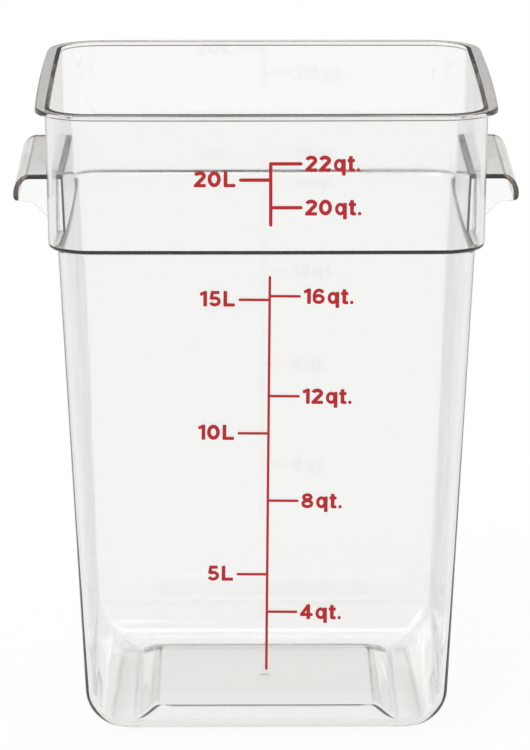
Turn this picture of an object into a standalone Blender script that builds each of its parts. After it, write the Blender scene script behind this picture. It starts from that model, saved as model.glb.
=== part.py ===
import math

import bmesh
import bpy

for item in list(bpy.data.objects):
    bpy.data.objects.remove(item, do_unlink=True)

# A tall square food storage container, moulded in clear plastic, with a red printed volume scale.
# Lengths are in metres. A half width is measured from the centre to the middle of a side.

# The moulding
container_height = 0.4008
wall_thickness = 0.0030
floor_thickness = 0.0032
edge_round = 0.0008

# Tapered tub
tub_top_half = 0.12766
tub_taper = 0.01623
tub_bow = 0.00016
tub_corner_radius = 0.0214
least_corner_radius = 0.0030
base_edge_radius = 0.0310
base_rise = 0.0060
foot_outer_half = 0.0836
foot_width = 0.0020
floor_slope_shift = 0.0016
floor_foot_width = 0.0010
slope_run = 0.0150
gate_mark_radius = 0.0035
gate_mark_depth = 0.0006

# Band between the shoulder and the rim
band_height = 0.0866
shoulder_width = 0.00614
shoulder_thickness = 0.0030
band_flare = 0.0014
band_bow = 0.00057

# Rim flange
flange_width = 0.0068
flange_thickness = 0.0030
rim_bow = 0.00116
rim_corner_radius = 0.0364

# Grip on each side: a shelf with a turned-down lip, a panel at each end and a finger pocket below it
grip_half_length = 0.0672
grip_drop = 0.0496
grip_flat_width = 0.0127
grip_curve_width = 0.0097
grip_curve_drop = 0.0127
grip_thickness = 0.0032
lip_length = 0.0039
lip_round_share = 0.82
panel_thickness = 0.0030
panel_knee_run = 0.0090
panel_knee_drop = 0.0012
pocket_step = 0.0003

# Printed scale
ink_thickness = 0.00015
ink_clearance = 0.0003
upper_print_offset = 0.0023
upper_print_rise = 0.0189
upper_line_length = 0.0377
upper_line_width = 0.0021
upper_tick_length = 0.0192
upper_letter_height = 0.0098
lower_print_offset = -0.0002
lower_print_height = 0.0473
lower_print_top_gap = 0.0146
lower_line_width = 0.0016
lower_tick_length = 0.0190
lower_letter_height = 0.0097
lower_print_turn = math.radians(0.47)
label_gap_right = 0.0016
label_gap_left = 0.0021

# Shares of the letter height
stroke_share = 0.24
bar_share = 0.21
letter_round_share = 0.05
letter_gap_share = 0.11
unit_gap_share = 0.175
right_label_drop_share = 0.49
left_label_drop_share = 0.44

# How far a cutter runs past what it cuts, and how near two points of an outline are one
overrun = 0.004
weld_distance = 0.000001

# Places that follow from the sizes
full_turn = 2 * math.pi
shoulder_height = container_height - band_height
flange_bottom = container_height - flange_thickness
tub_base_half = tub_top_half - tub_taper
band_bottom_half = tub_top_half + shoulder_width
band_top_half = band_bottom_half + band_flare
rim_half = band_top_half + flange_width
corner_centre = tub_top_half - tub_bow - tub_corner_radius
grip_top_height = container_height - grip_drop
grip_flat_reach = band_bottom_half + grip_flat_width
grip_reach = grip_flat_reach + grip_curve_width
lip_bottom_height = grip_top_height - grip_curve_drop - lip_length
panel_knee_reach = grip_reach - grip_thickness - panel_knee_run
panel_knee_height = lip_bottom_height - panel_knee_drop
upper_print_height = shoulder_height + upper_print_rise
lower_line_length = shoulder_height - lower_print_height - lower_print_top_gap

# Mesh steps
corner_steps = 9
side_steps = 6
fillet_steps = 8
slope_steps = 6
edge_steps = 2
grip_curve_steps = 8
gate_mark_steps = 24
letter_arc_step = math.radians(15)
bar_corner_steps = 3


def tub_half(height):
    return tub_base_half + tub_taper * height / shoulder_height


def band_half(height):
    climb = flange_bottom - shoulder_height
    return band_bottom_half + band_flare * (height - shoulder_height) / climb


def corner_radius(half, bow):
    return max(least_corner_radius, half - bow - corner_centre)


def square_ring(half, bow, height, radius=None):
    # Points of a square with round corners, whose sides bow out by the given amount in the middle.
    if radius is None:
        radius = corner_radius(half, bow)
    centre = half - bow - radius
    first_side = []
    for step in range(side_steps):
        share = 2 * step / side_steps - 1
        first_side.append((share * centre, bow * share * share - half))
    for step in range(corner_steps):
        angle = math.pi / 2 * (step / corner_steps - 1)
        first_side.append((centre + radius * math.cos(angle), radius * math.sin(angle) - centre))
    points = []
    for x, y in first_side:
        points.append((x, y, height))
    for x, y in first_side:
        points.append((-y, x, height))
    for x, y in first_side:
        points.append((-x, -y, height))
    for x, y in first_side:
        points.append((y, -x, height))
    return points


def mesh_of(name, shape):
    bmesh.ops.recalc_face_normals(shape, faces=shape.faces[:])
    mesh = bpy.data.meshes.new(name)
    shape.to_mesh(mesh)
    shape.free()
    return mesh


def object_of(name, mesh):
    item = bpy.data.objects.new(name, mesh)
    bpy.context.scene.collection.objects.link(item)
    return item


def helper(item):
    item.hide_render = True
    item.display_type = "WIRE"
    return item


def loft(name, rings):
    shape = bmesh.new()
    rows = []
    for ring in rings:
        rows.append([shape.verts.new(point) for point in ring])
    for below, above in zip(rows, rows[1:]):
        for index in range(len(below)):
            following = (index + 1) % len(below)
            shape.faces.new((below[index], below[following], above[following], above[index]))
    shape.faces.new(list(reversed(rows[0])))
    shape.faces.new(rows[-1])
    return object_of(name, mesh_of(name, shape))


def side_prism(name, outline, side, half_length):
    # An outline in X and Z, carried along Y on both sides of the middle.
    shape = bmesh.new()
    near = [shape.verts.new((side * x, -half_length, z)) for x, z in outline]
    far = [shape.verts.new((side * x, half_length, z)) for x, z in outline]
    for index in range(len(outline)):
        following = (index + 1) % len(outline)
        shape.faces.new((near[index], near[following], far[following], far[index]))
    shape.faces.new(near)
    shape.faces.new(list(reversed(far)))
    return helper(object_of(name, mesh_of(name, shape)))


def add_boolean(item, operation, other):
    cut = item.modifiers.new(other.name, "BOOLEAN")
    cut.operation = operation
    cut.solver = "EXACT"
    cut.object = other


def plastic_material():
    material = bpy.data.materials.new("clear_plastic")
    material.use_nodes = True
    surface = material.node_tree.nodes["Principled BSDF"]
    surface.inputs["Base Color"].default_value = (0.90, 0.92, 0.91, 1)
    surface.inputs["Roughness"].default_value = 0.06
    surface.inputs["Metallic"].default_value = 0
    surface.inputs["IOR"].default_value = 1.58
    surface.inputs["Transmission Weight"].default_value = 1
    return material


def ink_material():
    material = bpy.data.materials.new("red_ink")
    material.use_nodes = True
    surface = material.node_tree.nodes["Principled BSDF"]
    surface.inputs["Base Color"].default_value = (0.52, 0.02, 0.03, 1)
    surface.inputs["Roughness"].default_value = 0.45
    surface.inputs["Metallic"].default_value = 0
    return material


plastic = plastic_material()
ink = ink_material()


def base_rings(radius, inset, bottom, slope_start, foot_half):
    # The raised middle of the base, the slope down from it to the foot, and the round edge of the base
    rings = []
    for step in range(slope_steps + 1):
        share = 1 - step / slope_steps
        height = bottom + base_rise * share * share * (3 - 2 * share)
        rings.append(square_ring(slope_start - slope_run * share, tub_bow, height))
    rings.append(square_ring(foot_half, tub_bow, bottom))
    for step in range(1, fillet_steps + 1):
        angle = math.pi / 2 * step / fillet_steps
        height = bottom + radius * (1 - math.cos(angle))
        rings.append(square_ring(tub_half(height) - inset - radius * (1 - math.sin(angle)), tub_bow, height))
    return rings


# Outer skin of the moulding, from under the raised middle of the base up to the rim
def outer_rings():
    rings = base_rings(base_edge_radius, 0, 0, foot_outer_half - foot_width, foot_outer_half)
    rings.append(square_ring(tub_top_half, tub_bow, shoulder_height))
    for step in range(edge_steps + 1):
        angle = math.pi / 2 * step / edge_steps
        half = band_bottom_half - edge_round * (1 - math.sin(angle))
        height = shoulder_height + edge_round * (1 - math.cos(angle))
        rings.append(square_ring(half, band_bow, height))
    rings.append(square_ring(band_top_half, band_bow, flange_bottom))
    for step in range(edge_steps + 1):
        angle = math.pi / 2 * step / edge_steps
        inset = edge_round * (1 - math.sin(angle))
        height = flange_bottom + edge_round * (1 - math.cos(angle))
        rings.append(square_ring(rim_half - inset, rim_bow, height, rim_corner_radius - inset))
    for step in range(edge_steps + 1):
        angle = math.pi / 2 * step / edge_steps
        inset = edge_round * (1 - math.cos(angle))
        height = container_height - edge_round * (1 - math.sin(angle))
        rings.append(square_ring(rim_half - inset, rim_bow, height, rim_corner_radius - inset))
    return rings


# Space inside the moulding, from the floor up past the rim
def inner_rings():
    inner_radius = base_edge_radius - wall_thickness
    ledge_height = shoulder_height + shoulder_thickness
    slope_start = foot_outer_half - foot_width + floor_slope_shift
    foot_half = slope_start + floor_foot_width
    rings = base_rings(inner_radius, wall_thickness, floor_thickness, slope_start, foot_half)
    rings.append(square_ring(tub_half(ledge_height) - wall_thickness, tub_bow, ledge_height))
    rings.append(square_ring(band_half(ledge_height) - wall_thickness, band_bow, ledge_height))
    mouth_half = band_half(container_height) - wall_thickness
    for step in range(edge_steps + 1):
        angle = math.pi / 2 * step / edge_steps
        half = mouth_half + edge_round * (1 - math.cos(angle))
        height = container_height - edge_round * (1 - math.sin(angle))
        rings.append(square_ring(half, band_bow, height))
    rings.append(square_ring(mouth_half + edge_round, band_bow, container_height + overrun))
    return rings


def pocket_face(height):
    # Where the tub's outer wall runs on up behind the grip
    return tub_half(height) + pocket_step


def grip_outline():
    root_reach = band_bottom_half - wall_thickness
    points = [(root_reach, grip_top_height)]
    for step in range(grip_curve_steps + 1):
        angle = math.pi / 2 * step / grip_curve_steps
        reach = grip_flat_reach + (grip_reach - grip_flat_reach) * math.sin(angle)
        points.append((reach, grip_top_height - grip_curve_drop * (1 - math.cos(angle))))
    for step in range(edge_steps + 2):
        angle = math.pi / 2 * step / (edge_steps + 1)
        reach = grip_reach - grip_thickness * (1 - math.cos(angle))
        points.append((reach, lip_bottom_height + lip_round_share * lip_length * (1 - math.sin(angle))))
    points.append((panel_knee_reach, panel_knee_height))
    points.append((root_reach, panel_knee_height - (panel_knee_reach - root_reach)))
    return points


def under_grip_outline():
    low = shoulder_height - overrun
    ceiling = grip_top_height - grip_thickness
    inner_reach = grip_reach - grip_thickness
    points = [(pocket_face(low), low), (inner_reach, low)]
    for step in range(grip_curve_steps + 1):
        angle = math.pi / 2 * (1 - step / grip_curve_steps)
        reach = grip_flat_reach + (inner_reach - grip_flat_reach) * math.sin(angle)
        drop = (grip_curve_drop - grip_thickness) * (1 - math.cos(angle))
        points.append((reach, ceiling - drop))
    points.append((pocket_face(ceiling), ceiling))
    return points


def pocket_wall_outline():
    low = shoulder_height
    inner_low = pocket_face(low) - wall_thickness
    inner_high = pocket_face(grip_top_height) - wall_thickness
    return [(inner_low, low), (rim_half, low), (rim_half, grip_top_height), (inner_high, grip_top_height)]


container = loft("container_body", outer_rings())
container.data.materials.append(plastic)
inside = helper(loft("inside_space", inner_rings()))
sides = (("left", -1), ("right", 1))
for side_name, side in sides:
    grip = side_prism("grip_block_" + side_name, grip_outline(), side, grip_half_length)
    add_boolean(container, "UNION", grip)
    pocket = side_prism("pocket_block_" + side_name, pocket_wall_outline(), side, grip_half_length)
    add_boolean(inside, "DIFFERENCE", pocket)
add_boolean(container, "DIFFERENCE", inside)
for side_name, side in sides:
    hollow_half_length = grip_half_length - panel_thickness
    hollow = side_prism("under_grip_" + side_name, under_grip_outline(), side, hollow_half_length)
    add_boolean(container, "DIFFERENCE", hollow)

# Shallow round mark that the moulding gate leaves under the base
gate_shape = bmesh.new()
bmesh.ops.create_cone(
    gate_shape,
    cap_ends=True,
    segments=gate_mark_steps,
    radius1=gate_mark_radius,
    radius2=gate_mark_radius,
    depth=2 * gate_mark_depth,
)
gate_mark = helper(object_of("gate_mark", mesh_of("gate_mark", gate_shape)))
gate_mark.location = (0, 0, base_rise)
add_boolean(container, "DIFFERENCE", gate_mark)
container.data.shade_smooth()
container.data.set_sharp_from_angle(angle=math.radians(30))


# Ink films. Outlines are drawn in X and Z, and the film is as thick as the ink along Y.
def film(outline, opening=None):
    shape = bmesh.new()
    front = [shape.verts.new((x, -ink_thickness, z)) for x, z in outline]
    back = [shape.verts.new((x, 0, z)) for x, z in outline]
    count = len(outline)
    for index in range(count):
        following = (index + 1) % count
        shape.faces.new((front[index], front[following], back[following], back[index]))
    if opening:
        front_hole = [shape.verts.new((x, -ink_thickness, z)) for x, z in opening]
        back_hole = [shape.verts.new((x, 0, z)) for x, z in opening]
        for index in range(count):
            following = (index + 1) % count
            inner = (front_hole[index], front_hole[following], back_hole[following], back_hole[index])
            shape.faces.new(inner)
            shape.faces.new((front[index], front[following], front_hole[following], front_hole[index]))
            shape.faces.new((back[index], back[following], back_hole[following], back_hole[index]))
    else:
        shape.faces.new(front)
        shape.faces.new(list(reversed(back)))
    bmesh.ops.remove_doubles(shape, verts=shape.verts, dist=weld_distance)
    return object_of("film", mesh_of("film", shape))


def unite(name, films):
    # One film from several that overlap
    first = films[0]
    for other in films[1:]:
        add_boolean(first, "UNION", other)
    bpy.context.view_layer.update()
    graph = bpy.context.evaluated_depsgraph_get()
    mesh = bpy.data.meshes.new_from_object(first.evaluated_get(graph))
    mesh.name = name
    for item in films:
        bpy.data.objects.remove(item, do_unlink=True)
    mesh.materials.clear()
    mesh.materials.append(ink)
    return mesh


def bar(start, end, width, corner):
    # A straight stroke from start to end, with its corners rounded by the given radius
    along = (end[0] - start[0], end[1] - start[1])
    length = math.hypot(*along)
    ahead = (along[0] / length, along[1] / length)
    points = []
    turns = ((length - corner, width / 2 - corner, 0), (corner, width / 2 - corner, math.pi / 2))
    turns += ((corner, corner - width / 2, math.pi), (length - corner, corner - width / 2, 3 * math.pi / 2))
    for run, across, turn in turns:
        for step in range(bar_corner_steps + 1):
            angle = turn + math.pi / 2 * step / bar_corner_steps
            u = run + corner * math.cos(angle)
            v = across + corner * math.sin(angle)
            points.append((start[0] + u * ahead[0] - v * ahead[1], start[1] + u * ahead[1] + v * ahead[0]))
    return film(points)


def arc_points(centre, reach, rise, begin, finish):
    steps = max(3, round(abs(finish - begin) / letter_arc_step))
    points = []
    for step in range(steps + 1):
        angle = begin + (finish - begin) * step / steps
        points.append((centre[0] + reach * math.cos(angle), centre[1] + rise * math.sin(angle)))
    return points


def stroke_path(path, width):
    # A stroke of even width along a path of points, cut square at both ends
    left = []
    right = []
    for index, point in enumerate(path):
        before = path[max(index - 1, 0)]
        after = path[min(index + 1, len(path) - 1)]
        along = (after[0] - before[0], after[1] - before[1])
        length = math.hypot(*along)
        across = (-along[1] / length * width / 2, along[0] / length * width / 2)
        left.append((point[0] + across[0], point[1] + across[1]))
        right.append((point[0] - across[0], point[1] - across[1]))
    return film(left + right[::-1])


def oval_ring(centre, reach, rise, width):
    outline = arc_points(centre, reach, rise, 0, full_turn)[:-1]
    opening = arc_points(centre, reach - width, rise - width, 0, full_turn)[:-1]
    return film(outline, opening)


# Letter widths, as shares of the letter height
width_shares = {"0": 0.815, "1": 0.455, "2": 0.735, "4": 0.81, "5": 0.75, "6": 0.765, "8": 0.765}
width_shares.update({"q": 0.73, "t": 0.46, "L": 0.72, ".": 0.22})
letter_names = {"0": "zero", "1": "one", "2": "two", "4": "four", "5": "five", "6": "six", "8": "eight"}
letter_names.update({"q": "q", "t": "t", "L": "L", ".": "dot"})

# The strokes of each letter, as shares of the letter height: bars by their two ends, ovals by centre
# and half sizes, and arcs by centre, half sizes, first and last share of a turn, and an end point.
letter_shares = {
    "0": (("oval", "stem", 0.4075, 0.50, 0.4075, 0.50),),
    "1": (("bar", "stem", 0.3425, 0, 0.3425, 1), ("bar", "thin", 0.36, 0.91, 0.02, 0.76)),
    "2": (
        ("arc", "stem", 0.3675, 0.70, 0.255, 0.1875, 0.47, -0.10, 0.12, 0.11),
        ("bar", "thin", 0, 0.10, 0.735, 0.10),
    ),
    "4": (
        ("bar", "stem", 0.5265, 0, 0.5265, 1),
        ("bar", "thin", 0, 0.31, 0.81, 0.31),
        ("bar", "thin", 0.5265, 0.95, 0.09, 0.31),
    ),
    "5": (
        ("arc", "thin", 0.375, 0.325, 0.275, 0.225, 0.39, -0.44),
        ("bar", "thin", 0.225, 0.90, 0.15, 0.45),
        ("bar", "thin", 0.12, 0.90, 0.67, 0.90),
    ),
    "6": (
        ("oval", "thin", 0.3825, 0.325, 0.3825, 0.325),
        ("arc", "thin", 0.405, 0.50, 0.305, 0.40, 0.56, 0.10),
    ),
    "8": (("oval", "thin", 0.3825, 0.30, 0.3825, 0.30), ("oval", "thin", 0.3825, 0.735, 0.34, 0.265)),
    "q": (("oval", "thin", 0.335, 0.40, 0.335, 0.40), ("bar", "stem", 0.6175, -0.25, 0.6175, 0.79)),
    "t": (
        ("bar", "stem", 0.21, 0.04, 0.21, 0.97),
        ("bar", "thin", 0.18, 0.10, 0.46, 0.10),
        ("bar", "thin", 0, 0.69, 0.46, 0.69),
    ),
    "L": (("bar", "stem", 0.1125, 0, 0.1125, 1), ("bar", "thin", 0, 0.10, 0.72, 0.10)),
    ".": (("disc", "stem", 0.11, 0.11, 0.11, 0.11),),
}
letter_meshes = {}


def letter_films(letter, height):
    films = []
    for form, weight, *shares in letter_shares[letter]:
        width = (stroke_share if weight == "stem" else bar_share) * height
        first = (shares[0] * height, shares[1] * height)
        second = (shares[2] * height, shares[3] * height)
        if form == "bar":
            films.append(bar(first, second, width, letter_round_share * height))
        elif form == "oval":
            films.append(oval_ring(first, second[0], second[1], width))
        elif form == "disc":
            films.append(film(arc_points(first, second[0], second[1], 0, full_turn)[:-1]))
        else:
            path = arc_points(first, second[0], second[1], full_turn * shares[4], full_turn * shares[5])
            if shares[6:]:
                path.append((shares[6] * height, shares[7] * height))
            films.append(stroke_path(path, width))
    return films


def letter_mesh(letter, height):
    key = (letter, height)
    if key not in letter_meshes:
        letter_meshes[key] = unite("letter_" + letter_names[letter], letter_films(letter, height))
    return letter_meshes[key]


def letter_places(text, height):
    # Where each letter of a label starts, and the label's whole length
    places = []
    run = 0
    for index, letter in enumerate(text):
        if index:
            unit_starts = letter in "qL"
            run += (unit_gap_share if unit_starts else letter_gap_share) * height
        places.append(run)
        run += width_shares[letter] * height
    return places, run


def wall_frame(name, offset, height, half, lean, turn):
    # A flat frame on the front wall: X across, Z up the wall, -Y out of it
    frame = bpy.data.objects.new(name, None)
    bpy.context.scene.collection.objects.link(frame)
    frame.rotation_mode = "YXZ"
    frame.location = (offset, -half, height)
    frame.rotation_euler = (lean, turn, 0)
    return frame


def place(item, frame, across, up):
    item.parent = frame
    item.location = (across, -ink_clearance, up)


def print_scale(name, frame, line_length, line_width, tick_length, letter_height, marks):
    # A scale line with its ticks, and a label beside each tick
    half = line_width / 2
    films = [bar((0, -half), (0, line_length + half), line_width, half)]
    for text, side, share in marks:
        up = share * line_length
        films.append(bar((-side * half / 2, up), (side * tick_length, up), line_width, half))
    place(object_of("scale_line_" + name, unite("scale_line_" + name, films)), frame, 0, 0)
    for text, side, share in marks:
        up = share * line_length
        places, length = letter_places(text, letter_height)
        if side > 0:
            start = tick_length + label_gap_right
            baseline = up - right_label_drop_share * letter_height
        else:
            start = -tick_length - label_gap_left - length
            baseline = up - left_label_drop_share * letter_height
        label = text.replace(".", "")
        for index, letter in enumerate(text):
            glyph_name = f"mark_{label}_{index + 1}_{letter_names[letter]}"
            glyph = object_of(glyph_name, letter_mesh(letter, letter_height))
            place(glyph, frame, start + places[index], baseline)


# Each mark: its label, the side of the line that its tick points to, and its place as a share of the line
upper_mark_shares = (("22qt.", 1, 1.0), ("20L", -1, 0.735), ("20qt.", 1, 0.283))
lower_mark_shares = (
    ("16qt.", 1, 0.9528),
    ("15L", -1, 0.9433),
    ("12qt.", 1, 0.7015),
    ("10L", -1, 0.6067),
    ("8qt.", 1, 0.4353),
    ("5L", -1, 0.2456),
    ("4qt.", 1, 0.1488),
)
band_lean = math.atan2(band_flare, flange_bottom - shoulder_height)
tub_lean = math.atan2(tub_taper, shoulder_height)
upper_half = band_half(upper_print_height)
lower_half = tub_half(lower_print_height)
upper_frame = wall_frame("upper_print", upper_print_offset, upper_print_height, upper_half, band_lean, 0)
lower_frame = wall_frame(
    "lower_print", lower_print_offset, lower_print_height, lower_half, tub_lean, lower_print_turn
)
print_scale(
    "upper", upper_frame, upper_line_length, upper_line_width, upper_tick_length,
    upper_letter_height, upper_mark_shares,
)
print_scale(
    "lower", lower_frame, lower_line_length, lower_line_width, lower_tick_length,
    lower_letter_height, lower_mark_shares,
)
bpy.context.view_layer.update()
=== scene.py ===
import math
import bpy
import bmesh
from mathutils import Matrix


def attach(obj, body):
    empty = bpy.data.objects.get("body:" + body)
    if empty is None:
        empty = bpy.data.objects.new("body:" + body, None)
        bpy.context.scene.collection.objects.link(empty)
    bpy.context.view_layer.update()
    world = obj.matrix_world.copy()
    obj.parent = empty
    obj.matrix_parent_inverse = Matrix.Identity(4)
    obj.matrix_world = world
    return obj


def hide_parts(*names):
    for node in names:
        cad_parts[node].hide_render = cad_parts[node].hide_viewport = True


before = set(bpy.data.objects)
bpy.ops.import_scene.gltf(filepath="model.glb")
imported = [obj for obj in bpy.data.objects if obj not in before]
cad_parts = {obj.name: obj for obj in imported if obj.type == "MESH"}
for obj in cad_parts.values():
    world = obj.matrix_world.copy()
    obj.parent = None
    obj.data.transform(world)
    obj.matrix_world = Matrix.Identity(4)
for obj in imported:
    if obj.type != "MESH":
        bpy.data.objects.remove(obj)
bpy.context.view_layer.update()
near = 1e-5  # places closer together than this, in metres, count as the same


def clearSelection():
    if bpy.context.mode != "OBJECT":
        bpy.ops.object.mode_set(mode="OBJECT")
    bpy.ops.object.select_all(action="DESELECT")


def takeUp(piece):  # makes a piece the only one that the next operator acts on
    clearSelection()
    piece.select_set(True)
    bpy.context.view_layer.objects.active = piece


def openPiece(piece):
    takeUp(piece)
    bpy.ops.object.mode_set(mode="EDIT")


def closePiece():
    bpy.ops.object.mode_set(mode="OBJECT")


def pick(piece, kind, wanted):  # selects the edges or the faces that the test wants
    mesh = bmesh.from_edit_mesh(piece.data)
    bpy.ops.mesh.select_mode(type=kind)
    bpy.ops.mesh.select_all(action="DESELECT")
    for item in mesh.edges if kind == "EDGE" else mesh.faces:
        if wanted(item):
            item.select_set(True)
    mesh.select_flush_mode()
    bmesh.update_edit_mesh(piece.data)


def addBox(label, low, high):
    clearSelection()
    middle = [(a + b) / 2 for a, b in zip(low, high)]
    size = [b - a for a, b in zip(low, high)]
    bpy.ops.mesh.primitive_cube_add(size=1, location=middle, scale=size)
    piece = bpy.context.active_object
    piece.name = label
    bpy.ops.object.transform_apply(location=True, rotation=True, scale=True)
    return piece


def combine(piece, other, operation):  # joins or cuts with another block, which is used up
    takeUp(piece)
    step = piece.modifiers.new(other.name, "BOOLEAN")
    step.operation = operation
    step.solver = "EXACT"
    step.object = other
    bpy.ops.object.modifier_apply(modifier=step.name)
    bpy.data.objects.remove(other, do_unlink=True)


def isUpright(edge):
    a, b = (corner.co for corner in edge.verts)
    return abs(a.x - b.x) < near and abs(a.y - b.y) < near


def isLevelAt(item, height):
    return all(abs(corner.co.z - height) < near for corner in item.verts)


def reachOf(place, centre):  # how far out a point lies, measured to the flat sides and round the corners
    return centre + math.hypot(max(abs(place.x) - centre, 0), max(abs(place.y) - centre, 0))


def quarterTurn(steps):  # the angles of a quarter round, from nothing to square
    return [math.pi / 2 * step / steps for step in range(steps + 1)]


def sliceSides(piece, centre, cuts):  # upright cuts across both directions, so that the sides can bow
    openPiece(piece)
    for number in range(cuts):
        place = centre * (2 * (number + 1) / (cuts + 1) - 1)
        for normal in ((1, 0, 0), (0, 1, 0)):
            bpy.ops.mesh.select_all(action="SELECT")
            bpy.ops.mesh.bisect(plane_co=[place * part for part in normal], plane_no=normal)
    closePiece()


def bowSides(piece, bowAt, centre):  # pushes the middle of each side out a little, as on the moulding
    for corner in piece.data.vertices:
        x, y, z = corner.co
        if abs(x) > abs(y) and abs(y) < centre:
            corner.co.x += math.copysign(bowAt(z) * (1 - (y / centre) ** 2), x)
        elif abs(y) > abs(x) and abs(x) < centre:
            corner.co.y += math.copysign(bowAt(z) * (1 - (x / centre) ** 2), y)


# The moulding: a flange slab, a band with a tapered tub below it, and the same a wall smaller for the inside
shellSizes = {
    "top": 0.4008, "flangeBottom": 0.3978, "shoulder": 0.3142, "cornerCentre": 0.1061,
    "rimHalf": 0.14084, "rimRadius": 0.0364, "rimBow": 0.00116, "rimOverBand": 0.0012,
    "rimRound": 0.0013, "rimUnderRound": 0.0001, "rimSteps": 3, "mouthRound": 0.0004, "mouthSteps": 4,
    "bandTopHalf": 0.13463, "bandHalf": 0.13323, "bandBow": 0.00057,
    "tubHalf": 0.12750, "tubBaseHalf": 0.11127, "tubBow": 0.00016, "baseRound": 0.031,
    "bandOutRound": 0.0024, "tubOutRound": 0.0025, "bandInRound": 0.0003, "tubInRound": 0.0052,
    "ledge": 0.0023, "shoulderSteps": 6, "searchReach": 0.001,
    "wall": 0.0030, "floor": 0.0032, "cornerSteps": 16, "roundSteps": 14, "sideCuts": 7,
    "smoothBelow": 28, "weldGap": 1e-6,
}

# The base: a round edge, a narrow foot, and a middle that is pushed up and carries the gate mark
baseSizes = {
    "rise": 0.0060, "footHalf": 0.0836, "footWide": 0.0020, "footClear": 0.001, "insideShift": 0.0016,
    "insideFootWide": 0.0010, "slopeRun": 0.0150, "slopeSteps": 12, "cornerRound": 0.011,
    "gateRadius": 0.0035, "gateDepth": 0.0012, "gateSides": 32,
}


def shellBow(z):
    return shellSizes["bandBow"] if z > shellSizes["shoulder"] - 10 * near else shellSizes["tubBow"]


def tubTaper():
    s = shellSizes
    return (s["tubHalf"] - s["tubBaseHalf"]) / s["shoulder"]


def baseProfile(inset, bottom, edgeRound, footHalf, slopeStart):
    s, b = shellSizes, baseSizes  # gives half widths and heights, from the round edge to the middle
    points = []
    for angle in quarterTurn(s["roundSteps"])[1:]:
        height = bottom + edgeRound * (1 - math.sin(angle))
        half = s["tubBaseHalf"] - inset + tubTaper() * height - edgeRound * (1 - math.cos(angle))
        if half > footHalf + b["footClear"]:
            points.append((half, height))
    points += [(footHalf, bottom), (slopeStart, bottom)]
    for step in range(b["slopeSteps"]):
        part = (step + 1) / b["slopeSteps"]
        points.append((slopeStart - b["slopeRun"] * part, bottom + b["rise"] * part * part * (3 - 2 * part)))
    return points


def widenCorner(corner, startHalf, startRound):  # below the walls, the corners change to the foot's own round
    half = max(abs(corner.co.x), abs(corner.co.y))
    oldRound = startRound * half / startHalf
    part = min(1, (startHalf - half) / (startHalf - baseSizes["footHalf"]))
    newRound = startRound + (baseSizes["cornerRound"] - startRound) * part
    for axis in (0, 1):
        out = (abs(corner.co[axis]) - (half - oldRound)) / oldRound
        corner.co[axis] = math.copysign(half - newRound + newRound * out, corner.co[axis])


def makeTaperedBlock(label, inset, top, shoulder, tubFoot, profile):  # band, shoulder, tub, then the base
    s = shellSizes
    bandHalf, bandTopHalf = s["bandHalf"] - inset, s["bandTopHalf"] - inset
    block = addBox(label, (-bandHalf, -bandHalf, shoulder), (bandHalf, bandHalf, top))
    openPiece(block)
    pick(block, "EDGE", isUpright)
    bpy.ops.mesh.bevel(offset=bandHalf - s["cornerCentre"], segments=s["cornerSteps"], affect="EDGES")
    climb = (top - shoulder) / (s["flangeBottom"] - s["shoulder"])
    grow = 1 + (bandTopHalf - bandHalf) / bandHalf * climb
    pick(block, "FACE", lambda face: isLevelAt(face, top))
    bpy.ops.transform.resize(value=(grow, grow, 1), center_override=(0, 0, top))
    pick(block, "FACE", lambda face: isLevelAt(face, shoulder))
    bpy.ops.mesh.inset(thickness=s["bandHalf"] - s["tubHalf"], depth=0, use_even_offset=True)
    drop = shoulder - tubFoot
    bpy.ops.mesh.inset(thickness=tubTaper() * drop, depth=drop, use_even_offset=True)
    half, height = s["tubHalf"] - inset - tubTaper() * (s["shoulder"] - tubFoot), tubFoot
    startHalf, startRound = half, half - s["cornerCentre"]
    for newHalf, newHeight in profile:
        bpy.ops.mesh.extrude_region_move(TRANSFORM_OT_translate={"value": (0, 0, newHeight - height)})
        shrink = newHalf / half
        bpy.ops.transform.resize(value=(shrink, shrink, 1), center_override=(0, 0, newHeight))
        half, height = newHalf, newHeight
    closePiece()
    for corner in block.data.vertices:
        if corner.co.z < tubFoot - near:
            widenCorner(corner, startHalf, startRound)
    return block


def roundLevelLoop(block, height, low, high, offset, segments):  # softens the level edges between two reaches
    centre = shellSizes["cornerCentre"]

    def isOnLoop(edge):
        reaches = [reachOf(corner.co, centre) for corner in edge.verts]
        return isLevelAt(edge, height) and all(low < reach < high for reach in reaches)

    openPiece(block)
    pick(block, "EDGE", isOnLoop)
    bpy.ops.mesh.bevel(offset=offset, segments=segments, affect="EDGES")
    closePiece()


def finishShell(block, inset, height, bandRound, tubRound):  # the shoulder's two rounds, then the bowed sides
    s = shellSizes
    tub, search, steps = s["tubHalf"] - inset, s["searchReach"], s["shoulderSteps"]
    roundLevelLoop(block, height, tub + 2 * search, math.inf, bandRound, steps)
    roundLevelLoop(block, height, tub - search, tub + search, tubRound, steps)
    sliceSides(block, s["cornerCentre"], s["sideCuts"])
    bowSides(block, shellBow, s["cornerCentre"])


def makeRimSlab():
    s = shellSizes
    half = s["rimHalf"]
    slab = addBox("rimSlab", (-half, -half, s["flangeBottom"]), (half, half, s["top"]))
    openPiece(slab)
    pick(slab, "EDGE", isUpright)
    bpy.ops.mesh.bevel(offset=s["rimRadius"], segments=s["cornerSteps"], affect="EDGES")
    for height, edgeRound in ((s["top"], s["rimRound"]), (s["flangeBottom"], s["rimUnderRound"])):
        pick(slab, "EDGE", lambda edge: isLevelAt(edge, height))
        bpy.ops.mesh.bevel(offset=edgeRound, segments=s["rimSteps"], affect="EDGES")
    closePiece()
    centre = half - s["rimRadius"]
    sliceSides(slab, centre, s["sideCuts"])
    bowSides(slab, lambda z: s["rimBow"], centre)
    return slab


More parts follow.
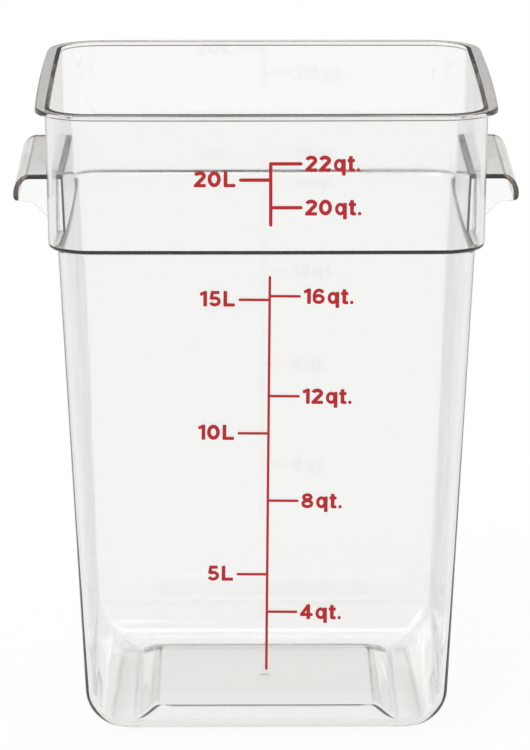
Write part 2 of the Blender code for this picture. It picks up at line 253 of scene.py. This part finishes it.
# The grips: a shelf with a turned-down lip, a panel at each end, and a pocket for the fingers behind it
gripSizes = {
    "length": 0.1344, "panel": 0.0030, "thickness": 0.0032, "shelf": 0.3512, "flatReach": 0.1465,
    "reach": 0.1562, "curveDrop": 0.0127, "curveSteps": 14, "lipBottom": 0.3346, "lipRound": 0.0032,
    "lipSteps": 6, "kneeReach": 0.1440, "kneeHeight": 0.3334, "edgeRound": 0.0006, "edgeSteps": 3,
    "pocketStep": 0.0003, "pocketWall": 0.0021, "pocketRound": 0.0014, "pocketSteps": 4,
    "pocketSearch": 0.0004, "ledgeRound": 0.0012, "ledgeSteps": 6, "bandShareAtShelf": 0.44, "overrun": 0.004,
}


def profileBlock(label, outline, side, length):  # a side outline in X and Z, carried along Y
    clearSelection()
    bpy.ops.mesh.primitive_circle_add(vertices=len(outline), fill_type="NGON")
    block = bpy.context.active_object
    block.name = label
    for corner, (x, z) in zip(block.data.vertices, outline):
        corner.co = (side * x, -length / 2, z)
    openPiece(block)
    bpy.ops.mesh.select_all(action="SELECT")
    bpy.ops.mesh.extrude_region_move(TRANSFORM_OT_translate={"value": (0, length, 0)})
    bpy.ops.mesh.select_all(action="SELECT")
    bpy.ops.mesh.normals_make_consistent(inside=False)
    closePiece()
    return block


def pocketFace(z):  # how far out the pocket's back lies, in line with the tub below
    s = shellSizes
    tubOut = s["tubBaseHalf"] + s["tubBow"] + (s["tubHalf"] - s["tubBaseHalf"]) * z / s["shoulder"]
    return tubOut + gripSizes["pocketStep"]


def gripOutline():
    g = gripSizes
    root = shellSizes["bandHalf"] - shellSizes["wall"]
    points = [(root, g["shelf"])]
    for angle in quarterTurn(g["curveSteps"]):
        x = g["flatReach"] + (g["reach"] - g["flatReach"]) * math.sin(angle)
        points.append((x, g["shelf"] - g["curveDrop"] * (1 - math.cos(angle))))
    for angle in quarterTurn(g["lipSteps"]):
        x = g["reach"] - g["thickness"] * (1 - math.cos(angle))
        points.append((x, g["lipBottom"] + g["lipRound"] * (1 - math.sin(angle))))
    points.append((g["kneeReach"], g["kneeHeight"]))
    points.append((root, g["kneeHeight"] - (g["kneeReach"] - root)))
    return points


def underGripOutline():
    g = gripSizes
    low, ceiling = shellSizes["shoulder"] - g["overrun"], g["shelf"] - g["thickness"]
    lipInside = g["reach"] - g["thickness"]
    points = [(pocketFace(low), low), (lipInside, low)]
    for angle in reversed(quarterTurn(g["curveSteps"])):
        x = g["flatReach"] + (lipInside - g["flatReach"]) * math.sin(angle)
        points.append((x, ceiling - (g["curveDrop"] - g["thickness"]) * (1 - math.cos(angle))))
    points.append((pocketFace(ceiling), ceiling))
    return points


def pocketOutline():  # the step that the pocket makes inside, with a hollow round where it meets the band
    s, g = shellSizes, gripSizes
    wall, hollow, shelf, shoulder = g["pocketWall"], g["ledgeRound"], g["shelf"], s["shoulder"]
    spread = (s["bandTopHalf"] - s["bandHalf"]) * g["bandShareAtShelf"]
    bandInside = s["bandHalf"] - s["wall"] + spread + s["bandBow"]
    points = [(pocketFace(shoulder) - wall, shoulder), (s["rimHalf"], shoulder)]
    points.append((s["rimHalf"], shelf + hollow))
    for angle in quarterTurn(g["ledgeSteps"]):
        x = bandInside - hollow * (1 - math.cos(angle))
        points.append((x, shelf + hollow * (1 - math.sin(angle))))
    points.append((pocketFace(shelf) - wall, shelf))
    return points


def roundEnds(block, wanted, offset, segments):  # softens the wanted edges of a grip block's two end faces
    end = gripSizes["length"] / 2

    def isAtEnd(edge):
        places = [corner.co for corner in edge.verts]
        return all(abs(abs(place.y) - end) < near and wanted(place) for place in places)

    openPiece(block)
    pick(block, "EDGE", isAtEnd)
    bpy.ops.mesh.bevel(offset=offset, segments=segments, affect="EDGES")
    closePiece()
    return block


def makeGripBlock(side):
    g = gripSizes
    block = profileBlock("gripBlock", gripOutline(), side, g["length"])
    return roundEnds(block, lambda place: place.z < g["lipBottom"] + near, g["edgeRound"], g["edgeSteps"])


def makePocketBlock(side):
    g = gripSizes
    inmost = pocketFace(g["shelf"]) - g["pocketWall"] + g["pocketSearch"]
    block = profileBlock("pocketBlock", pocketOutline(), side, g["length"])
    return roundEnds(block, lambda place: abs(place.x) < inmost, g["pocketRound"], g["pocketSteps"])


def makeOuterShell():
    s, b = shellSizes, baseSizes
    profile = baseProfile(0, 0, s["baseRound"], b["footHalf"], b["footHalf"] - b["footWide"])
    shell = makeTaperedBlock(
        "clearContainer", 0, s["top"] - s["rimOverBand"], s["shoulder"], s["baseRound"], profile
    )
    finishShell(shell, 0, s["shoulder"], s["bandOutRound"], s["tubOutRound"])
    combine(shell, makeRimSlab(), "UNION")
    return shell


def makeInsideSpace():
    s, b = shellSizes, baseSizes
    ledgeHeight, inRound = s["shoulder"] + s["ledge"], s["baseRound"] - s["wall"]
    slopeStart = b["footHalf"] - b["footWide"] + b["insideShift"]
    profile = baseProfile(s["wall"], s["floor"], inRound, slopeStart + b["insideFootWide"], slopeStart)
    space = makeTaperedBlock(
        "insideSpace", s["wall"], s["top"] + gripSizes["overrun"], ledgeHeight, s["floor"] + inRound, profile
    )
    finishShell(space, s["wall"], ledgeHeight, s["bandInRound"], s["tubInRound"])
    return space


def makeGateMark():
    b = baseSizes
    clearSelection()
    bpy.ops.mesh.primitive_cylinder_add(
        vertices=b["gateSides"], radius=b["gateRadius"], depth=b["gateDepth"], location=(0, 0, b["rise"])
    )
    gate = bpy.context.active_object
    gate.name = "gateMark"
    return gate


def softenShell(shell):  # welds what the cuts left, rounds the mouth, and shades all but sharp edges smooth
    s = shellSizes
    openPiece(shell)
    bpy.ops.mesh.select_all(action="SELECT")
    bpy.ops.mesh.remove_doubles(threshold=s["weldGap"])
    closePiece()
    mouth, search = s["bandTopHalf"] - s["wall"], s["searchReach"]
    roundLevelLoop(shell, s["top"], mouth - search, mouth + 2 * search, s["mouthRound"], s["mouthSteps"])
    takeUp(shell)
    bpy.ops.object.shade_smooth_by_angle(angle=math.radians(s["smoothBelow"]))
    keep = shell.modifiers.new("flatFacesStayFlat", "WEIGHTED_NORMAL")
    keep.keep_sharp = True
    bpy.ops.object.modifier_apply(modifier=keep.name)


def makeContainer():
    hollowLength = gripSizes["length"] - 2 * gripSizes["panel"]
    outer, inner = makeOuterShell(), makeInsideSpace()
    for side in (-1, 1):
        combine(outer, makeGripBlock(side), "UNION")
        combine(inner, makePocketBlock(side), "DIFFERENCE")
    combine(outer, inner, "DIFFERENCE")
    for side in (-1, 1):
        combine(outer, profileBlock("underGrip", underGripOutline(), side, hollowLength), "DIFFERENCE")
    combine(outer, makeGateMark(), "DIFFERENCE")
    softenShell(outer)
    return outer


def addNoise(nodes, links, place, scale, detail):
    noise = nodes.new("ShaderNodeTexNoise")
    noise.inputs["Scale"].default_value = scale
    noise.inputs["Detail"].default_value = detail
    links.new(place.outputs["Object"], noise.inputs["Vector"])
    return noise.outputs["Fac"]


def addRange(nodes, links, value, start, end):  # start and end are each a value and what it becomes
    spread = nodes.new("ShaderNodeMapRange")
    spread.inputs["From Min"].default_value, spread.inputs["To Min"].default_value = start
    spread.inputs["From Max"].default_value, spread.inputs["To Max"].default_value = end
    links.new(value, spread.inputs["Value"])
    return spread.outputs["Result"]


def addBumps(nodes, links, surface, layers):  # each layer is a pattern and its height in metres
    normal = None
    for pattern, height in layers:
        bump = nodes.new("ShaderNodeBump")
        bump.inputs["Strength"].default_value = 1
        bump.inputs["Distance"].default_value = height
        links.new(pattern, bump.inputs["Height"])
        if normal:
            links.new(normal, bump.inputs["Normal"])
        normal = bump.outputs["Normal"]
    links.new(normal, surface.inputs["Normal"])


# Clear plastic: transparent, a little waxy, and brown grey where the light has a long way through it
plasticLook = {
    "tint": (0.985, 0.99, 0.985, 1), "ior": 1.58, "depthTint": (0.55, 0.47, 0.43, 1), "depthDensity": 20.0,
    "hazeScale": 26, "hazeDetail": 4, "hazeStart": 0.35, "hazeEnd": 0.7, "roughLow": 0.02, "roughHigh": 0.06,
    "waveScale": 18, "waveDetail": 2, "waveHeight": 0.00006,
    "grainScale": 900, "grainDetail": 3, "grainHeight": 0.0000012,
    "speckScale": 55, "speckSize": 0.035, "speckHeight": 0.00002,
}


def makePlastic():
    look = plasticLook
    plastic = bpy.data.materials.new("clearPlastic")
    plastic.use_nodes = True
    nodes, links = plastic.node_tree.nodes, plastic.node_tree.links
    surface = nodes["Principled BSDF"]
    surface.inputs["Base Color"].default_value = look["tint"]
    surface.inputs["IOR"].default_value = look["ior"]
    surface.inputs["Transmission Weight"].default_value = 1
    place = nodes.new("ShaderNodeTexCoord")
    haze = addNoise(nodes, links, place, look["hazeScale"], look["hazeDetail"])
    clear, hazy = (look["hazeStart"], look["roughLow"]), (look["hazeEnd"], look["roughHigh"])
    rough = addRange(nodes, links, haze, clear, hazy)
    links.new(rough, surface.inputs["Roughness"])
    cells = nodes.new("ShaderNodeTexVoronoi")
    cells.inputs["Scale"].default_value = look["speckScale"]
    links.new(place.outputs["Object"], cells.inputs["Vector"])
    waves = addNoise(nodes, links, place, look["waveScale"], look["waveDetail"])
    grain = addNoise(nodes, links, place, look["grainScale"], look["grainDetail"])
    specks = addRange(nodes, links, cells.outputs["Distance"], (0, 1), (look["speckSize"], 0))
    layers = ((waves, look["waveHeight"]), (grain, look["grainHeight"]), (specks, look["speckHeight"]))
    addBumps(nodes, links, surface, layers)
    depth = nodes.new("ShaderNodeVolumeAbsorption")
    depth.inputs["Color"].default_value = look["depthTint"]
    depth.inputs["Density"].default_value = look["depthDensity"]
    links.new(depth.outputs["Volume"], nodes["Material Output"].inputs["Volume"])
    return plastic


# Red ink of the printed scale
inkLook = {
    "red": (0.60, 0.008, 0.015, 1), "darkRed": (0.47, 0.005, 0.010, 1), "roughLow": 0.52, "roughHigh": 0.68,
    "grainScale": 900, "grainDetail": 3, "grainStart": 0.3, "grainEnd": 0.7, "grainHeight": 0.000008,
}


def makeInk():
    look = inkLook
    ink = bpy.data.materials.new("redInk")
    ink.use_nodes = True
    nodes, links = ink.node_tree.nodes, ink.node_tree.links
    surface = nodes["Principled BSDF"]
    place = nodes.new("ShaderNodeTexCoord")
    grain = addNoise(nodes, links, place, look["grainScale"], look["grainDetail"])
    smooth, coarse = (look["grainStart"], look["roughLow"]), (look["grainEnd"], look["roughHigh"])
    rough = addRange(nodes, links, grain, smooth, coarse)
    links.new(rough, surface.inputs["Roughness"])
    addBumps(nodes, links, surface, ((grain, look["grainHeight"]),))
    reds = nodes.new("ShaderNodeMix")
    reds.data_type = "RGBA"
    reds.inputs["A"].default_value = look["red"]
    reds.inputs["B"].default_value = look["darkRed"]
    links.new(grain, reds.inputs["Factor"])
    links.new(reds.outputs["Result"], surface.inputs["Base Color"])
    return ink


container = makeContainer()
container.data.materials.clear()
container.data.materials.append(makePlastic())
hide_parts("container_body")
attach(container, "root")
print("container made:", len(container.data.polygons), "faces")

redInk = makeInk()
for name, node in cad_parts.items():
    if name.startswith(("mark_", "scale_line_")):
        node.data.materials.clear()
        node.data.materials.append(redInk)
print("printed scale coloured")

# The stage: a white floor that keeps the container's shadow, and a white room that reflections show dimmer
stageLook = {
    "floorSize": 24, "floorDrop": 0.0004, "paintWhite": 0.9, "ownGlow": 0.93, "shadowShare": 0.08,
    "floorMirrored": 0.86, "roomFill": 0.62,
    "roomTones": [  # from the horizon upward, as the sine of the height angle
        (0.12, (0.80, 0.79, 0.76, 1)), (0.158, (0.20, 0.185, 0.16, 1)), (0.177, (0.18, 0.165, 0.14, 1)),
        (0.187, (0.50, 0.48, 0.44, 1)), (0.27, (0.64, 0.62, 0.59, 1)), (0.36, (0.88, 0.88, 0.86, 1)),
    ],
}


def mathNode(nodes, links, operation, first, second):
    node = nodes.new("ShaderNodeMath")
    node.operation = operation
    for socket, value in zip(node.inputs, (first, second)):
        if isinstance(value, (int, float)):
            socket.default_value = value
        else:
            links.new(value, socket)
    return node.outputs["Value"]


def seenParts(nodes, links):  # what shows straight, by gloss or through plastic, and what a reflection shows
    path = nodes.new("ShaderNodeLightPath")
    direct = mathNode(nodes, links, "MAXIMUM", path.outputs["Is Camera Ray"], path.outputs["Is Glossy Ray"])
    seen = mathNode(nodes, links, "MAXIMUM", direct, path.outputs["Is Transmission Ray"])
    mirrored = mathNode(nodes, links, "MINIMUM", path.outputs["Glossy Depth"], 1)
    return seen, mirrored


def chooseShader(nodes, links, seen, otherwise, shown, output):  # one look for the eye, another for the light
    choose = nodes.new("ShaderNodeMixShader")
    links.new(seen, choose.inputs["Fac"])
    links.new(otherwise, choose.inputs[1])
    links.new(shown, choose.inputs[2])
    links.new(choose.outputs["Shader"], nodes[output].inputs["Surface"])


def makeFloor():
    look = stageLook
    clearSelection()
    bpy.ops.mesh.primitive_plane_add(size=look["floorSize"], location=(0, 0, -look["floorDrop"]))
    floor = bpy.context.active_object
    floor.name = "paleFloor"
    bpy.ops.object.transform_apply(location=True, rotation=True, scale=True)
    paint = bpy.data.materials.new("floorWhite")
    paint.use_nodes = True
    nodes, links = paint.node_tree.nodes, paint.node_tree.links
    nodes.remove(nodes["Principled BSDF"])
    seen, mirrored = seenParts(nodes, links)
    plain = nodes.new("ShaderNodeBsdfDiffuse")
    white = look["paintWhite"]
    plain.inputs["Color"].default_value = (white, white, white, 1)
    glow = nodes.new("ShaderNodeEmission")
    dimming = mathNode(nodes, links, "MULTIPLY", mirrored, look["ownGlow"] - look["floorMirrored"])
    links.new(mathNode(nodes, links, "SUBTRACT", look["ownGlow"], dimming), glow.inputs["Strength"])
    shadow = nodes.new("ShaderNodeBsdfDiffuse")
    share = look["shadowShare"]
    shadow.inputs["Color"].default_value = (share, share, share, 1)
    both = nodes.new("ShaderNodeAddShader")
    links.new(glow.outputs["Emission"], both.inputs[0])
    links.new(shadow.outputs["BSDF"], both.inputs[1])
    chooseShader(nodes, links, seen, plain.outputs["BSDF"], both.outputs["Shader"], "Material Output")
    floor.data.materials.append(paint)


def makeRoom():
    look = stageLook
    room = bpy.data.worlds.new("studioRoom")
    bpy.context.scene.world = room
    room.use_nodes = True
    nodes, links = room.node_tree.nodes, room.node_tree.links
    fill = nodes["Background"]
    fill.inputs["Color"].default_value = (1, 1, 1, 1)
    fill.inputs["Strength"].default_value = look["roomFill"]
    seen, mirrored = seenParts(nodes, links)
    way = nodes.new("ShaderNodeTexCoord")
    split = nodes.new("ShaderNodeSeparateXYZ")
    links.new(way.outputs["Generated"], split.inputs["Vector"])
    tones = nodes.new("ShaderNodeValToRGB")
    stops = tones.color_ramp.elements
    stops[0].position, stops[0].color = look["roomTones"][0]
    stops[1].position, stops[1].color = look["roomTones"][-1]
    for position, colour in look["roomTones"][1:-1]:
        stops.new(position).color = colour
    links.new(split.outputs["Z"], tones.inputs["Fac"])
    tone = nodes.new("ShaderNodeMix")
    tone.data_type = "RGBA"
    tone.inputs["A"].default_value = (1, 1, 1, 1)
    links.new(mirrored, tone.inputs["Factor"])
    links.new(tones.outputs["Color"], tone.inputs["B"])
    shown = nodes.new("ShaderNodeBackground")
    shown.inputs["Strength"].default_value = 1
    links.new(tone.outputs["Result"], shown.inputs["Color"])
    chooseShader(nodes, links, seen, fill.outputs["Background"], shown.outputs["Background"], "World Output")


# Two plain white lamps: a broad soft one from the upper left, and a strip straight above the container
lampLook = {
    "softLamp": {"kind": "SUN", "energy": 0.9, "spread": 40, "place": (0, 0, 3), "tilt": (38, 0, -35)},
    "stripLamp": {
        "kind": "AREA", "energy": 4.3, "long": 1.8, "wide": 0.10, "place": (0, -0.13, 2.0), "tilt": (0, 0, 0),
    },
}


def makeLamp(label, look):
    data = bpy.data.lights.new(label, look["kind"])
    data.energy = look["energy"]
    if look["kind"] == "SUN":
        data.angle = math.radians(look["spread"])
    else:
        data.shape = "RECTANGLE"
        data.size, data.size_y = look["long"], look["wide"]
    lamp = bpy.data.objects.new(label, data)
    bpy.context.scene.collection.objects.link(lamp)
    lamp.location = look["place"]
    lamp.rotation_euler = [math.radians(angle) for angle in look["tilt"]]


makeFloor()
makeRoom()
for label, look in lampLook.items():
    makeLamp(label, look)
print("stage made")

# The photograph's viewpoint
cameraPlace = {
    "location": (-0.02191, -2.97214, 0.915825), "tilt": 76.6032, "turn": -0.41906,
    "lens": 230.03, "sensor": 36, "farthest": 40,
}


def makeCamera():
    view = bpy.data.cameras.new("photoView")
    view.lens = cameraPlace["lens"]
    view.sensor_width = cameraPlace["sensor"]
    view.clip_end = cameraPlace["farthest"]
    camera = bpy.data.objects.new("photoView", view)
    bpy.context.scene.collection.objects.link(camera)
    camera.location = cameraPlace["location"]
    camera.rotation_euler = (math.radians(cameraPlace["tilt"]), 0, math.radians(cameraPlace["turn"]))
    bpy.context.scene.camera = camera


makeCamera()
bpy.context.scene.view_settings.view_transform = "Standard"
print("camera placed")
